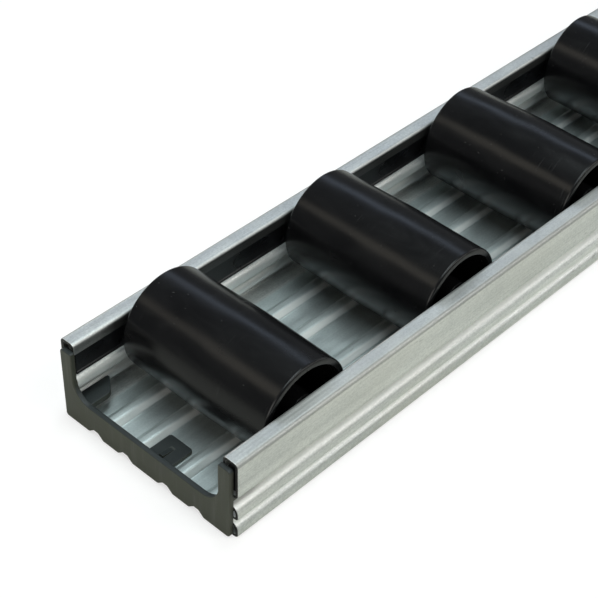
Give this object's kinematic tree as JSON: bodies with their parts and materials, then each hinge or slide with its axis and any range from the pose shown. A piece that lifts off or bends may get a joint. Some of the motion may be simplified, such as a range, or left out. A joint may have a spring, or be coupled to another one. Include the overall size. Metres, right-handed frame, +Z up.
{
  "type": "flow rack roller track",
  "caption": "Roll-formed steel channel with full-width plastic rollers on fixed axles in hooked axle holders, and a moulded cap on each end.",
  "frame": {"origin": "middle of the underside, at half the track's length", "axes": "X across the track, Y along it towards the rear end, Z up; the rollers' axles lie along X"},
  "size_m": [0.062, 0.592, 0.0328],
  "materials": {
    "galvanised_steel": "bright galvanised sheet, satin",
    "roller_plastic": "satin black moulded plastic",
    "holder_plastic": "semi-gloss black moulded plastic",
    "grey_plastic": "matt olive-grey moulded plastic",
    "bright_steel": "drawn bright steel rod"
  },
  "bodies": {
    "track": {"channel": "galvanised_steel", "front_end_cap": "grey_plastic", "rear_end_cap": "grey_plastic", "axle_01": "bright_steel", "left_axle_holder_01": "holder_plastic", "right_axle_holder_01": "holder_plastic", "axle_02": "bright_steel", "left_axle_holder_02": "holder_plastic", "right_axle_holder_02": "holder_plastic", "axle_03": "bright_steel", "left_axle_holder_03": "holder_plastic", "right_axle_holder_03": "holder_plastic", "axle_04": "bright_steel", "left_axle_holder_04": "holder_plastic", "right_axle_holder_04": "holder_plastic", "axle_05": "bright_steel", "left_axle_holder_05": "holder_plastic", "right_axle_holder_05": "holder_plastic", "axle_06": "bright_steel", "left_axle_holder_06": "holder_plastic", "right_axle_holder_06": "holder_plastic", "axle_07": "bright_steel", "left_axle_holder_07": "holder_plastic", "right_axle_holder_07": "holder_plastic", "axle_08": "bright_steel", "left_axle_holder_08": "holder_plastic", "right_axle_holder_08": "holder_plastic", "axle_09": "bright_steel", "left_axle_holder_09": "holder_plastic", "right_axle_holder_09": "holder_plastic", "axle_10": "bright_steel", "left_axle_holder_10": "holder_plastic", "right_axle_holder_10": "holder_plastic"},
    "roller_01": {"roller_01": "roller_plastic"},
    "roller_02": {"roller_02": "roller_plastic"},
    "roller_03": {"roller_03": "roller_plastic"},
    "roller_04": {"roller_04": "roller_plastic"},
    "roller_05": {"roller_05": "roller_plastic"},
    "roller_06": {"roller_06": "roller_plastic"},
    "roller_07": {"roller_07": "roller_plastic"},
    "roller_08": {"roller_08": "roller_plastic"},
    "roller_09": {"roller_09": "roller_plastic"},
    "roller_10": {"roller_10": "roller_plastic"}
  },
  "joints": [
    {"name": "roller_01_spin", "type": "hinge", "parent": "track", "child": "roller_01", "pos_m": [0, -0.2655, 0.0178], "axis": [1, 0, 0], "continuous": true},
    {"name": "roller_02_spin", "type": "hinge", "parent": "track", "child": "roller_02", "pos_m": [0, -0.2065, 0.0178], "axis": [1, 0, 0], "continuous": true},
    {"name": "roller_03_spin", "type": "hinge", "parent": "track", "child": "roller_03", "pos_m": [0, -0.1475, 0.0178], "axis": [1, 0, 0], "continuous": true},
    {"name": "roller_04_spin", "type": "hinge", "parent": "track", "child": "roller_04", "pos_m": [0, -0.0885, 0.0178], "axis": [1, 0, 0], "continuous": true},
    {"name": "roller_05_spin", "type": "hinge", "parent": "track", "child": "roller_05", "pos_m": [0, -0.0295, 0.0178], "axis": [1, 0, 0], "continuous": true},
    {"name": "roller_06_spin", "type": "hinge", "parent": "track", "child": "roller_06", "pos_m": [0, 0.0295, 0.0178], "axis": [1, 0, 0], "continuous": true},
    {"name": "roller_07_spin", "type": "hinge", "parent": "track", "child": "roller_07", "pos_m": [0, 0.0885, 0.0178], "axis": [1, 0, 0], "continuous": true},
    {"name": "roller_08_spin", "type": "hinge", "parent": "track", "child": "roller_08", "pos_m": [0, 0.1475, 0.0178], "axis": [1, 0, 0], "continuous": true},
    {"name": "roller_09_spin", "type": "hinge", "parent": "track", "child": "roller_09", "pos_m": [0, 0.2065, 0.0178], "axis": [1, 0, 0], "continuous": true},
    {"name": "roller_10_spin", "type": "hinge", "parent": "track", "child": "roller_10", "pos_m": [0, 0.2655, 0.0178], "axis": [1, 0, 0], "continuous": true}
  ]
}
